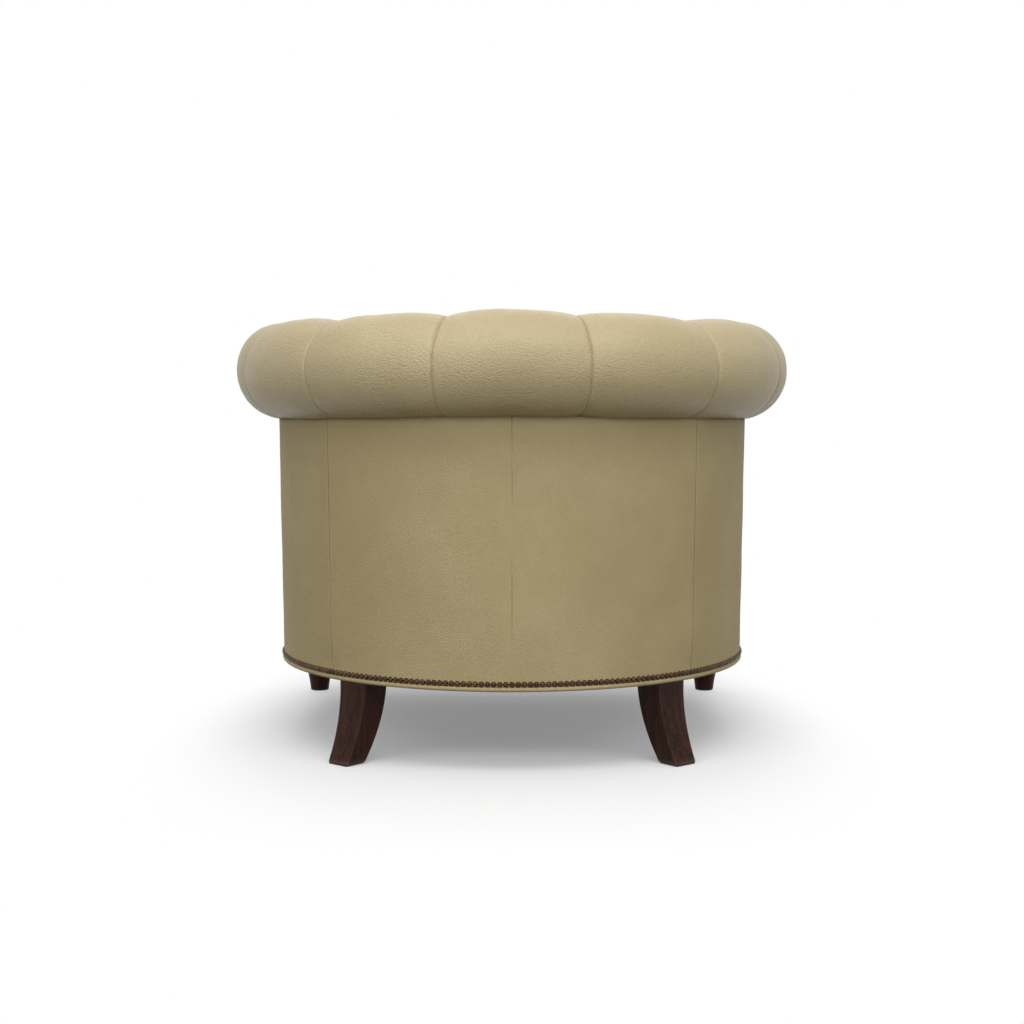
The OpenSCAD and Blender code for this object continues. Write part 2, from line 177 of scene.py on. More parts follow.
# Soft studio light: a white dome all round, one softbox close above the chair's back, three side
# by side behind it, a long low one that reaches under the roll, and a wide one high in front.
# The roll's top is the brightest leather and its underside falls darker.
dome_strength = 0.61
world = bpy.data.worlds.new("studio")
bpy.context.scene.world = world
world.use_nodes = True
sky = Wire(world.node_tree)
direct = seen_directly(sky)
world.node_tree.links.new((direct + (1 - direct) * dome_strength).socket,
                          world.node_tree.nodes["Background"].inputs["Strength"])
world.node_tree.nodes["Background"].inputs["Color"].default_value = white


def softbox(name, power, size, place, aim):
    """A flat lamp of so many watts and metres, turned towards a point."""
    lamp = bpy.data.lights.new(name, "AREA")
    lamp.shape = "RECTANGLE"
    lamp.size, lamp.size_y = size
    lamp.energy = power
    holder = bpy.data.objects.new(name, lamp)
    bpy.context.scene.collection.objects.link(holder)
    holder.location = place
    holder.rotation_euler = (Vector(aim) - Vector(place)).to_track_quat("-Z", "Y").to_euler()


softbox("overhead", 18.2, (2.4, 0.7), (0, 1.15, 2.1), (0, 0.35, 0.6))
softbox("behind", 9.5, (2.6, 0.5), (0, 2.05, 1.45), (0, 0.4, 0.6))
softbox("behind_left", 6.5, (1.4, 0.5), (1.9, 1.75, 1.4), (0.1, 0.3, 0.55))
softbox("behind_right", 6.5, (1.4, 0.5), (-1.9, 1.75, 1.4), (-0.1, 0.3, 0.55))
softbox("low_behind", 4.2, (2.8, 0.3), (0, 1.75, 0.10), (0, 0.45, 0.62))
softbox("front_fill", 12, (2.6, 2.0), (0, -2.6, 2.6), (0, -0.2, 0.4))

# The cover is khaki top-grain leather: a pebbled grain that stretches finer on the flat outside
# panels, faint cloudy tone from the hide, and painted shade that darkens its folds and seams.
khaki = srgb(170, 154, 115)
khaki_light = srgb(180, 165, 126)
khaki_deep = srgb(143, 126, 86)
pebble_turn = (0.0, math.radians(24), 0.0)
pebble_stretch = (0.80, 1.0, 1.20)
pebble_wander = 0.6
pebble_shade = 0.16
fold_shade = 0.55


def leather(name, grain, depth, gloss, rough):
    """Pebbled leather; grain is the width of a pebble in metres."""
    material, shader, hide = finish(name, Specular_IOR_Level=gloss)
    spot = hide.node("ShaderNodeTexCoord", output="Object")
    drift = hide.node("ShaderNodeTexNoise", output="Color", inputs={
        "Vector": spot, "Scale": 60.0, "Detail": 2.0})
    bent = spot + (drift - 0.5) * (grain * pebble_wander)
    skewed = hide.node("ShaderNodeMapping", inputs={
        "Vector": bent, "Rotation": pebble_turn, "Scale": pebble_stretch})
    pebble = hide.node("ShaderNodeTexVoronoi", {"feature": "SMOOTH_F1"}, output="Distance", inputs={
        "Vector": skewed, "Scale": 1 / grain, "Smoothness": 0.25, "Randomness": 0.75})
    fine = hide.node("ShaderNodeTexNoise", output="Fac", inputs={
        "Vector": spot, "Scale": 0.45 / grain, "Detail": 4.0, "Roughness": 0.6})
    cloud = hide.node("ShaderNodeTexNoise", output="Fac", inputs={
        "Vector": spot, "Scale": 5.5, "Detail": 5.0, "Roughness": 0.6})
    stretch = hide.node("ShaderNodeTexNoise", output="Fac", inputs={
        "Vector": spot, "Scale": 11.0, "Detail": 1.0}).ramp(0.35, 0.7)
    relief = (1 - pebble) * (0.8 + stretch * 0.2) + fine * 0.2
    bump = hide.node("ShaderNodeBump", output="Normal", inputs={
        "Height": relief, "Strength": depth, "Distance": grain * 0.5})
    # Painted shade: the colour turns darker where the surface folds inward, in creases and seams.
    crease = hide.node("ShaderNodeNewGeometry", output="Pointiness").ramp(0.40, 0.52)
    tone = cloud.ramp(0.3, 0.75).mix(khaki, khaki_light)
    tone = (pebble.ramp(0.35, 0.75) * pebble_shade).mix(tone, khaki_deep)
    tone = ((1 - crease) * fold_shade).mix(tone, khaki_deep)
    feed(shader, Base_Color=tone, Roughness=rough + fine * 0.12 + cloud * 0.06, Normal=bump)
    return material


roll_leather = leather("roll_leather", grain=0.0033, depth=0.62, gloss=0.64, rough=0.37)
panel_leather = leather("panel_leather", grain=0.0025, depth=0.42, gloss=0.08, rough=0.50)
seat_leather = leather("seat_leather", grain=0.0030, depth=0.36, gloss=0.34, rough=0.44)

# The padded roll and the tufted inside are one leather cover, pulled over the top rail and tacked
# under the roll. Pleats run over the roll from the top row of buttons; below it the cover is
# folded in diamonds from button to button.
wall_flare = 0.006
arm_length = 0.390
arm_splay = math.radians(2)
pleat_angle = math.radians(28)
pleats = 6
roll_radius = 0.083
roll_height = 0.646
roll_set_in = 0.010
roll_middle = wall_radius + wall_flare - roll_set_in
wall_base = 0.134
wall_top = 0.563
arm_front = tub_y - arm_length
corner_angle = math.pi / 2 - arm_splay
corner_pleat = corner_angle / pleat_angle
end_pleat = pleats - 0.5
same_point = 0.00002


def clamp(value, low=0.0, high=1.0):
    return max(low, min(high, value))


def ease(value):
    value = clamp(value)
    return value * value * (3 - 2 * value)


def place(t, radius, height, set_in=0.0):
    """A point of the tub: t counts pleats from the middle of the back, then runs along the arm."""
    side = 1 if t >= 0 else -1
    angle = min(abs(t) * pleat_angle, corner_angle)
    along = clamp((abs(t) - corner_pleat) / (end_pleat - corner_pleat))
    run = along * (arm_length + (radius - set_in) * math.cos(corner_angle)) / math.sin(corner_angle)
    return Vector((side * (radius * math.sin(angle) + run * math.cos(corner_angle)),
                   tub_y + (radius - set_in) * math.cos(angle) - run * math.sin(corner_angle), height))


def smooth_piece(name, points, faces, material):
    """A new piece of the chair from its points and faces."""
    mesh = bpy.data.meshes.new(name)
    mesh.from_pydata([tuple(p) for p in points], [], faces)
    mesh.validate()
    body = bpy.data.objects.new(name, mesh)
    bpy.context.scene.collection.objects.link(body)
    mesh.materials.append(material)
    worker = bmesh.new()
    worker.from_mesh(mesh)
    bmesh.ops.remove_doubles(worker, verts=worker.verts, dist=same_point)
    bmesh.ops.recalc_face_normals(worker, faces=worker.faces)
    worker.to_mesh(mesh)
    worker.free()
    mesh.polygons.foreach_set("use_smooth", [True] * len(mesh.polygons))
    return body


def lofted(rings, capped=True):
    """Points and faces of a skin over closed rings of equal length."""
    count = len(rings[0])
    points = [p for ring in rings for p in ring]
    faces = []
    for low in range(0, (len(rings) - 1) * count, count):
        high = low + count
        faces += [(low + k, low + (k + 1) % count, high + (k + 1) % count, high + k) for k in range(count)]
    if capped:
        faces.append(tuple(range(count - 1, -1, -1)))
        faces.append(tuple((len(rings) - 1) * count + k for k in range(count)))
    return points, faces


pleat_depth = 0.0105
stitch_depth = 0.0016
stitch_width = 0.0018
fold_depth = 0.0105
button_depth = 0.009
button_height = 0.590
button_rise = 0.078
seat_half = 0.286
lumbar = 0.038
deck_height = 0.3302
cushion_top = 0.457
join_height = button_height + 0.012
diamond_bottom = deck_height + 0.060
crown_rise = 0.005
underside_rise = 0.0043
cover_tuck = 0.4045
tack_gap = 0.003
seam_lean_most = 0.022
outer_depth = 0.22
outer_fullness = 0.42
inner_fullness = 0.75
inner_start = 2.2
puff_power = 0.42
button_pit_power = 9
top_pit_power = 14
top_pit_reach = 0.09
fold_end = 1.0
fold_fade = 0.35
roll_steps = 56
inside_steps = 96


def roll_inner(height):
    """How far the roll's inner side lies from the middle of the tub."""
    return roll_middle - math.sqrt(max(0, roll_radius ** 2 - (height - roll_height) ** 2))


def inside_radius(height):
    """The tufted inside leans in from the roll to the seat."""
    share = ease((height - diamond_bottom) / (join_height - diamond_bottom)) ** 1.3
    return seat_half + (roll_inner(join_height) - seat_half) * share


def lumbar_at(height):
    """How far the inside back comes forward, most from the cushion down."""
    return lumbar * (1 - ease((height - cushion_top) / (join_height - cushion_top)))


def seam_depth(t, power=0.75):
    """1 in a pleat seam, falling to 0 midway between two."""
    return 1 - abs(math.sin(math.pi * (t - 0.5))) ** power


def stitch(t):
    """The narrow crease along a pleat's seam itself."""
    away = abs((t - 0.5) - round(t - 0.5)) * pleat_angle * wall_radius
    return stitch_depth * math.exp(-(away / stitch_width) ** 2)


def seam_lean(t, angle):
    """The seams at the back lean outward on the roll's outer side, as the leather is pulled down."""
    outer = 1 - ease(angle / 1.3)
    return math.copysign(seam_lean_most, t) * outer * math.sin(math.pi * t) ** 2 * (1 - ease(abs(t) - 1.4))


def underside_lift(t):
    """The roll's lower edge rises a little in the middle of the back."""
    return underside_rise * (1 + math.cos(math.radians(120 * t))) / 2 * (1 - ease(abs(t) - 1))


def tuft_depth(t, v):
    """How far the tufted face is drawn in; v is 0 on the top row of buttons and 1 two rows below."""
    if v < 0:
        pull = math.exp(-(v / top_pit_reach) ** 2) * abs(math.cos(math.pi * (t - 0.5))) ** top_pit_power
        return pleat_depth * seam_depth(t) + (button_depth + fold_depth - pleat_depth) * pull
    w = clamp(v)
    p, q = math.pi * (t - 0.5 + w), math.pi * (t - 0.5 - w)
    puff = abs(math.sin(p) * math.sin(q)) ** puff_power
    return fold_depth * (1 - puff) + button_depth * abs(math.cos(p) * math.cos(q)) ** button_pit_power


def ripple(point, scale, seed):
    return noise.noise(Vector(point) * scale + Vector((seed, 0, -seed)))


def swell(body, broad, fine):
    """Lets a soft piece rise and fall a little, as stuffing does under leather."""
    normals = [vertex.normal.copy() for vertex in body.data.vertices]
    for vertex, normal in zip(body.data.vertices, normals):
        vertex.co += normal * (ripple(vertex.co, 14, 3.1) * broad + ripple(vertex.co, 45, 7.7) * fine)


def cover_ring(t):
    """One section of the cover: under the roll, over its top, and down the tufted inside.

    The angle goes round the roll in radians, from its outer side over the top to its inner side.
    """
    rise = crown_rise * (1 + math.cos(math.radians(120 * t))) / 2
    first = -math.acos((wall_radius + wall_flare - tack_gap - roll_middle) / roll_radius)
    last = math.pi - math.asin((join_height - roll_height) / roll_radius)
    ring = []
    for k in range(roll_steps + 1):
        angle = first + (last - first) * k / roll_steps
        shallow = outer_depth + (1 - outer_depth) * ease((angle + 1.2) / 2.6)
        fullness = outer_fullness + (inner_fullness - outer_fullness) * ease((angle - inner_start) / 1.2)
        depth = pleat_depth * shallow * seam_depth(t, fullness) + stitch(t)
        share = (1 + math.sin(angle)) / 2
        lift = (underside_lift(t) * (1 - share) + rise * share) * (1 - ease((angle - inner_start) / 0.8))
        ring.append(place(t + seam_lean(t, angle), roll_middle + (roll_radius - depth) * math.cos(angle),
                          roll_height + (roll_radius - depth) * math.sin(angle) + lift))
    for k in range(1, inside_steps + 1):
        height = join_height + (deck_height - join_height) * k / inside_steps
        v = (button_height - height) / (2 * button_rise)
        fade = 1 - ease((v - fold_end) / fold_fade)
        depth = tuft_depth(t, v) * fade
        ring.append(place(t, inside_radius(height) + depth, height, lumbar_at(height)))
    ring.append(place(t, cover_tuck, deck_height))
    ring.append(place(t, cover_tuck, roll_height - roll_radius + 0.0035))
    return ring


# Sections stand close beside a seam and further apart on the full part of a pleat.
near_seam = (0, 0.006, 0.012, 0.02, 0.03, 0.045, 0.065, 0.09, 0.12, 0.155, 0.195, 0.24, 0.29, 0.34,
             0.395, 0.45, 0.5)
one_pleat = near_seam + tuple(1 - d for d in near_seam[-2:0:-1])
stations = [n - end_pleat + step for n in range(2 * pleats - 1) for step in one_pleat] + [end_pleat]
cover = smooth_piece("tufted_cover", *lofted([cover_ring(t) for t in stations]), roll_leather)
swell(cover, 0.0016, 0.0005)
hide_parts("roll_padding", "inside_padding")
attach(cover, "chair")

# The outside back is two leather panels and each arm one, stretched over card, nailed along the
# rail and cut to meet in fine seams: one down the middle of the back and one at each quarter.
# Beside a quarter seam the turned edge lies a little proud of the panel.
panel_low = 0.1423
panel_depth = 0.004
panel_tuck = 0.0025
quarter_pleat = math.radians(45.7) / pleat_angle
ridge_width = 0.055
ridge_rise = 0.05
nailed_edge = 0.012
foot_turn = 0.0009
foot_height = 0.0012
edge_marks = (0, 0.0002, 0.0005, 0.0009, 0.0013, 0.0018, 0.003, 0.006, 0.010, 0.015, 0.021)
field_start = 0.027
field_pitch = 0.012
low_rows = (0, 0.0004, 0.0012, 0.003)
upper_rows = 60
# A seam's half opening, the round of its turned edge and how far the panel stands proud there.
middle_seam = (0.00005, 0.0006, 0.0)
quarter_seam = (0.0006, 0.0009, 0.0024)
arm_seam = (0.0006, 0.0011, 0.0032)


def wall_at(height):
    """The outside's radius; the wall flares a little from the rail up to the roll."""
    return wall_radius + wall_flare * (height - wall_base) / (wall_top - wall_base)


def tub_length(t, radius):
    """Distance along the wall from the middle of the back."""
    bend = min(abs(t), corner_pleat) * pleat_angle * radius
    along = clamp((abs(t) - corner_pleat) / (end_pleat - corner_pleat))
    run = along * (arm_length + radius * math.cos(corner_angle))
    return math.copysign(bend + run / math.sin(corner_angle), t)


def tub_station(length, radius):
    """The t of a distance along the wall."""
    bend = corner_angle * radius
    if abs(length) <= bend:
        return length / radius / pleat_angle
    along = (abs(length) - bend) / (tub_length(end_pleat, radius) - bend)
    return math.copysign(corner_pleat + along * (end_pleat - corner_pleat), length)


def outside_panel(name, first, last, seams, node):
    """A stretched panel from one place on the tub to another, with its turned edges at both seams."""
    start = tub_length(first, wall_radius) + seams[0][0]
    stop = tub_length(last, wall_radius) - seams[1][0]
    count = int((stop - start) / field_pitch)
    field = [start + field_start + (stop - start - 2 * field_start) * k / count for k in range(count + 1)]
    marks = sorted([start + e for e in edge_marks] + [stop - e for e in edge_marks] + field)
    rings = []
    for mark in marks:
        t = tub_station(mark, wall_radius)
        tall = wall_top + panel_tuck + underside_lift(t) - panel_low
        rows = list(low_rows) + [low_rows[-1] + (tall - low_rows[-1]) * k / upper_rows
                                 for k in range(1, upper_rows + 1)]
        near = min(mark - start, stop - mark)
        _, turn_radius, proud = seams[0 if mark - start < stop - mark else 1]
        turned = turn_radius * (1 - clamp(near / turn_radius)) ** 2
        ridge = proud * (1 - clamp(near / ridge_width)) ** 2
        ring = []
        for row in rows:
            height = panel_low + row
            foot = foot_turn * (1 - clamp(row / foot_height)) ** 2
            stood = ridge * ease((row - nailed_edge) / ridge_rise)
            ring.append(place(t, wall_at(height) - turned - foot + stood, height))
        for row in (rows[-1], rows[0]):
            height = panel_low + row
            ring.append(place(t, wall_at(height) - panel_depth, height))
        rings.append(ring)
    body = smooth_piece(name, *lofted(rings), panel_leather)
    swell(body, 0.0007, 0.0001)
    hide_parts(node)
    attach(body, "chair")


outside_panel("outside_back_panel_left", 0, quarter_pleat,
              (middle_seam, quarter_seam), "outside_back_left")
outside_panel("outside_back_panel_right", -quarter_pleat, 0,
              (quarter_seam, middle_seam), "outside_back_right")
outside_panel("outside_arm_panel_left", quarter_pleat, end_pleat,
              (arm_seam, middle_seam), "outside_arm_left")
outside_panel("outside_arm_panel_right", -end_pleat, -quarter_pleat,
              (middle_seam, arm_seam), "outside_arm_right")

# Under the panels runs a leather bead: a welt filled with cord, with its flat side tacked to the
# rail. It closes the lower edge all round, from one facing to the other.
bead_radius = 0.004
bead_middle = wall_radius - 0.0012
bead_flat = 0.4101
bead_turn = 118
bead_steps = 14
bead_rings = 24


def bead_ring(t):
    turns = [math.radians(-bead_turn + 2 * bead_turn * k / bead_steps) for k in range(bead_steps + 1)]
    heights = [wall_base + bead_radius * (1 + math.sin(a)) for a in turns]
    ring = [place(t, bead_middle + bead_radius * math.cos(a), height) for a, height in zip(turns, heights)]
    return ring + [place(t, bead_flat, heights[-1]), place(t, bead_flat, heights[0])]


bead_stations = [-end_pleat + k / bead_rings for k in range(int(2 * end_pleat * bead_rings) + 1)]
bead = smooth_piece("base_welt", *lofted([bead_ring(t) for t in bead_stations]), panel_leather)
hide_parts("base_bead")
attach(bead, "chair")

# Close rows of antique bronze nails hold the leather's edges: one just above the bead all round
# the tub, one across the front border and one round each facing. Each head is a dome pressed from
# sheet, tarnished dark and scuffed on its crown.
nail_radius = 0.0046
nail_rise = 0.0042
nail_pitch = 0.00967
nail_height = 0.1463
nail_foot = -0.0006
nail_rim = 0.10
nail_lean = 0.10
nail_bronze, nail_shader, nails = finish("nail_bronze", Metallic=0.85, Specular_IOR_Level=0.5)
nail_spot = nails.node("ShaderNodeTexCoord", output="Object")
tarnish = nails.node("ShaderNodeTexNoise", inputs={"Vector": nail_spot, "Scale": 95.0, "Detail": 3.0})
scuff = nails.node("ShaderNodeTexNoise", inputs={"Vector": nail_spot, "Scale": 900.0, "Detail": 2.0})
old_bronze = tarnish.ramp(0.36, 0.66).mix(srgb(58, 41, 27), srgb(80, 58, 39))
scuffed_bronze = (scuff.ramp(0.55, 0.80) * 0.10).mix(old_bronze, srgb(150, 112, 84))
feed(nail_shader, Base_Color=scuffed_bronze, Roughness=0.20 + tarnish * 0.08)


def add_dome(points, faces, spot, turn, steps, tip, around):
    """Adds a domed head to a list of points and faces; each step is a radius and a height."""
    start = len(points)
    for reach, rise in steps:
        points += [spot + turn @ Vector((reach * math.cos(b), reach * math.sin(b), rise))
                   for b in (2 * math.pi * k / around for k in range(around))]
    points.append(spot + turn @ Vector((0, 0, tip)))
    for ring in range(len(steps) - 1):
        low = start + ring * around
        high = low + around
        faces += [(low + k, low + (k + 1) % around, high + (k + 1) % around, high + k) for k in range(around)]
    last = start + (len(steps) - 1) * around
    faces += [(last + k, last + (k + 1) % around, len(points) - 1) for k in range(around)]
    faces.append(tuple(start + around - 1 - k for k in range(around)))


def nail_heads(name, spots):
    """Nail heads as one piece; each spot is a point on the leather and the way it faces."""
    points, faces = [], []
    around, up = 18, 5
    steps = [(nail_radius, nail_foot)]
    steps += [(nail_radius * math.cos(a), nail_rise * (nail_rim + (1 - nail_rim) * math.sin(a)))
              for a in (math.radians(90 * k / up) for k in range(up))]
    for number, (spot, way) in enumerate(spots):
        lean = Vector((ripple((number, 0, 0), 7.3, 1), ripple((number, 0, 0), 7.3, 5), 0)) * nail_lean
        turn = (way + way.to_track_quat("Z", "Y") @ lean).to_track_quat("Z", "Y")
        add_dome(points, faces, spot, turn, steps, nail_rise, around)
    body = smooth_piece(name, points, faces, nail_bronze)
    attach(body, "chair")


def outward(t):
    """The level direction that the tub's outside faces."""
    angle = min(abs(t) * pleat_angle, corner_angle)
    return Vector((math.copysign(math.sin(angle), t), math.cos(angle), 0))


row_radius = wall_at(nail_height)
row_end = 0.008
row_sink = 0.0001
row_count = round(2 * (tub_length(end_pleat, row_radius) - row_end) / nail_pitch)
row_marks = [(k - row_count / 2) * nail_pitch for k in range(row_count + 1)]
nail_heads("base_nails", [(place(t, row_radius - row_sink, nail_height), outward(t))
                          for t in (tub_station(mark, row_radius) for mark in row_marks)])

# Each arm ends in a padded facing, cut to the scroll of the roll and the tapering arm below it.
# The leather is turned over its edge and nailed on the front.
facing_depth = 0.014
facing_crown = 0.0025
facing_inset = 0.001
facing_nail_inset = 0.0095
facing_nail_sink = 0.0017
pillow_edge = 0.0055
pillow_slope = 0.045
pillow_back = 0.0003
pillow_columns = 34
close_rows = (0, 0.0004, 0.001, 0.002, 0.004, 0.008)
scroll_radius = roll_radius - 0.003
scroll_steps = 80
arm_steps = 30


def front_x(radius):
    """How far out the tub of a radius comes at the arm's front."""
    return (radius + arm_length * math.cos(corner_angle)) / math.sin(corner_angle)


scroll_x = front_x(roll_middle)
scroll_start = -math.acos((front_x(wall_at(wall_top)) - facing_inset - scroll_x) / scroll_radius)


def inner_edge(height):
    return front_x(inside_radius(height)) + facing_inset


def outer_edge(height):
    return front_x(wall_at(height)) - facing_inset


def scroll_point(angle, inset=0.0):
    reach = scroll_radius - inset
    return (scroll_x + reach * math.cos(angle), roll_height + reach * math.sin(angle))


# The scroll ends where it meets the inner edge of the arm.
scroll_stop = next(a for a in (math.radians(d / 2) for d in range(300, 500))
                   if scroll_point(a)[0] > inner_edge(scroll_point(a)[1]))


def facing_path(inset, low):
    """The facing's outline, from its outer lower corner over the scroll to the inner one."""
    path = [(outer_edge(low) - inset, low)]
    path += [scroll_point(scroll_start + (scroll_stop - scroll_start) * k / scroll_steps, inset)
             for k in range(scroll_steps + 1)]
    drop = path[-1][1]
    heights = [drop + (deck_height - drop) * k / arm_steps for k in range(1, arm_steps + 1)]
    return path + [(inner_edge(h) + inset, h) for h in heights] + [(inner_edge(deck_height) + inset, low)]


def evenly(path, pitch):
    """Points spaced evenly along a closed path of flat points."""
    ends = path + path[:1]
    reach = [0]
    for a, b in zip(ends, ends[1:]):
        reach.append(reach[-1] + math.dist(a, b))
    count = round(reach[-1] / pitch)
    spots = []
    for k in range(count):
        mark = reach[-1] * k / count
        j = next((i for i in range(1, len(reach) - 1) if reach[i] >= mark), len(reach) - 1)
        share = (mark - reach[j - 1]) / max(reach[j] - reach[j - 1], 1e-9)
        spots.append(tuple(a + (b - a) * share for a, b in zip(ends[j - 1], ends[j])))
    return spots


def pillow(name, rows, outline, depth, crown, side=1):
    """A padded face on the chair's front; each row is a height and the two ends of its width."""
    front, back = [], []
    for height, low, high in rows:
        for k in range(pillow_columns + 1):
            x = (low + high) / 2 - (high - low) / 2 * math.cos(math.pi * k / pillow_columns)
            near = min(math.dist((x, height), p) for p in outline)
            near = 0 if k in (0, pillow_columns) or height in (rows[0][0], rows[-1][0]) else near
            turned = pillow_edge * (1 - math.sqrt(1 - (1 - clamp(near / pillow_edge)) ** 2))
            sunk = crown * (1 - clamp(near / pillow_slope)) ** 2
            front.append(Vector((side * x, arm_front - depth + turned + sunk, height)))
            back.append(Vector((side * x, arm_front - pillow_back, height)))
    width, tall = pillow_columns + 1, len(rows)
    faces = []
    for i in range(tall - 1):
        for k in range(pillow_columns):
            quad = (i * width + k, i * width + k + 1, (i + 1) * width + k + 1, (i + 1) * width + k)
            faces.append(quad)
            faces.append(tuple(len(front) + n for n in reversed(quad)))
    rim = [k for k in range(width)]
    rim += [i * width + pillow_columns for i in range(1, tall)]
    rim += [(tall - 1) * width + k for k in range(pillow_columns - 1, -1, -1)]
    rim += [i * width for i in range(tall - 2, 0, -1)]
    faces += [(a, b, len(front) + b, len(front) + a) for a, b in zip(rim, rim[1:] + rim[:1])]
    body = smooth_piece(name, front + back, faces, panel_leather)
    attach(body, "chair")
    return body


def facing_row(height):
    """A height of the facing with the two ends of its width there."""
    span = math.sqrt(max(0, scroll_radius ** 2 - (height - roll_height) ** 2))
    outer = scroll_x + span if height > scroll_point(scroll_start)[1] else outer_edge(height)
    inner = scroll_x - span if height > scroll_point(scroll_stop)[1] else inner_edge(height)
    return height, inner, outer


neck_height = scroll_point(scroll_start)[1]
arm_rows = 44
scroll_rows = 56
scroll_turn = math.pi / 2 - scroll_start
# The arm's evenly spaced rows end just under the scroll's first one.
rows_short = 0.0085
facing_outline = evenly(facing_path(0, wall_base), 0.002)
facing_heights = [wall_base + d for d in close_rows]
facing_heights += [wall_base + close_rows[-1] + (neck_height - wall_base - rows_short) * k / arm_rows
                   for k in range(1, arm_rows + 1)]
facing_heights += [scroll_point(scroll_start + scroll_turn * k / scroll_rows)[1]
                   for k in range(1, scroll_rows + 1)]
facing_rows = [facing_row(height) for height in facing_heights]
facing_nails = evenly(facing_path(facing_nail_inset, nail_height), nail_pitch)
facing_nail_y = arm_front - facing_depth + facing_nail_sink
forward = Vector((0, -1, 0))
for hand, side in (("left", 1), ("right", -1)):
    facing = pillow("padded_facing_" + hand, facing_rows, facing_outline, facing_depth, facing_crown, side)
    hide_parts("arm_facing_" + hand)
    nail_heads("facing_nails_" + hand, [(Vector((side * x, facing_nail_y, z)), forward)
                                        for x, z in facing_nails])

# Under the cushion the front border is a padded strip of the same leather between the facings.
# Its upper edge is tacked under the cushion, and one straight row of nails holds the lower one.
border_depth = 0.012
border_crown = 0.002
border_half = front_x(seat_half) - 0.0003
border_rows = 24
border_nails_each_way = 30
border_tall = deck_height - wall_base
border_nail_y = arm_front - border_depth + 0.0012
border_heights = [wall_base + d for d in close_rows]
border_heights += [wall_base + close_rows[-1] + (border_tall - 2 * close_rows[-1]) * k / border_rows
                   for k in range(1, border_rows + 1)]
border_heights += [deck_height - d for d in close_rows[-2::-1]]
corners = [(-border_half, wall_base), (border_half, wall_base),
           (border_half, deck_height), (-border_half, deck_height)]
border = pillow("padded_border", [(h, -border_half, border_half) for h in border_heights],
                evenly(corners, 0.003), border_depth, border_crown)
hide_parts("front_border")
nail_heads("border_nails", [(Vector((k * nail_pitch, border_nail_y, nail_height)), forward)
                            for k in range(-border_nails_each_way, border_nails_each_way + 1)])

# A covered button holds the tufting at every crossing of the folds. It is a small tin cap under
# the same leather, pulled into the padding on twine.
button_radius = 0.011
button_sink = 0.0125
button_foot = 0.0005
button_dome = 0.0062
button_lumbar = 0.12


def covered_buttons():
    """All buttons as one piece: ten in the upper row and eleven, half a pleat over, in the lower."""
    points, faces = [], []
    around, up = 28, 8
    steps = [(button_radius * math.cos(a) ** 0.8, button_foot + button_dome * math.sin(a) ** 0.9)
             for a in (math.radians(90 * k / up) for k in range(up))]
    for row in (0, 1):
        height = button_height - row * button_rise
        for n in range(1 - pleats, pleats - 1 + row):
            t = n + (1 - row) / 2
            ahead = button_lumbar * lumbar_at(height) * math.cos(t * pleat_angle) ** 2
            spot = place(t, inside_radius(height) + button_sink - ahead, height, lumbar_at(height))
            turn = (-outward(t)).to_track_quat("Z", "Y")
            add_dome(points, faces, spot, turn, steps, button_foot + button_dome, around)
    return smooth_piece("covered_buttons", points, faces, panel_leather)


buttons = covered_buttons()
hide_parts("tufting_buttons")
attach(buttons, "chair")

# The loose seat cushion is a boxed leather case, corded along its upper and lower edges and
# filled tight. Its shape comes from a cloth simulation of the case under the filling's pressure.
cushion_low = deck_height + 0.0003
cushion_gap = 0.003
welt_radius = 0.0036
welt_sides = 10
seam_low = cushion_low + 0.013
seam_high = cushion_low + 0.095
plan_pitch = 0.005
front_stop = 0.006
front_line = 0.007
front_bow = 0.004
corner_passes = 10
case_inset = 0.0045
welt_inset = 0.0030
# The case's sections before it is filled: a share of the outline and a height above its underside.
case_steps = ((0.60, 0.0), (0.90, 0.002), (0.97, 0.006), (1, 0.013), (0.99, 0.030), (0.99, 0.075),
              (1, 0.095), (0.97, 0.101), (0.90, 0.106), (0.60, 0.113), (0.25, 0.115))
voxel = 0.0055
seam_band = 0.0035
seam_reach = 0.007
cloth_steps = 20
most_out = 0.006
most_down = -0.006
most_up = 0.012


def cushion_plan(inset):
    """The cushion's outline seen from above: round the tub, then across its slightly bowed front."""
    radius = seat_half - cushion_gap - inset
    last = int(8 * end_pleat)
    path = [tuple(place(k / 8, radius, 0, lumbar))[:2] for k in range(-last, last + 1)]
    path = [(x, max(y, arm_front - front_stop + inset)) for x, y in path]
    reach = abs(path[0][0])
    path += [(reach * (1 - k / 10), arm_front - front_line + inset + front_bow * math.sin(math.pi * k / 20))
             for k in range(1, 20)]
    path = evenly(path, plan_pitch)
    for _ in range(corner_passes):
        path = [tuple((a + 2 * b + c) / 4 for a, b, c in zip(path[n - 1], path[n], path[(n + 1) % len(path)]))
                for n in range(len(path))]
    return path


def cord(name, path, radius, material, body):
    """A welt: a round leather-covered cord along a closed path of points."""
    rings = []
    for n, spot in enumerate(path):
        ahead = (path[(n + 1) % len(path)] - path[n - 1]).normalized()
        across = ahead.cross(Vector((0, 0, 1))).normalized()
        rings.append([spot + radius * (math.cos(a) * across + math.sin(a) * across.cross(ahead))
                      for a in (2 * math.pi * k / welt_sides for k in range(welt_sides))])
    rings.append(rings[0])
    piece = smooth_piece(name, *lofted(rings, capped=False), material)
    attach(piece, body)


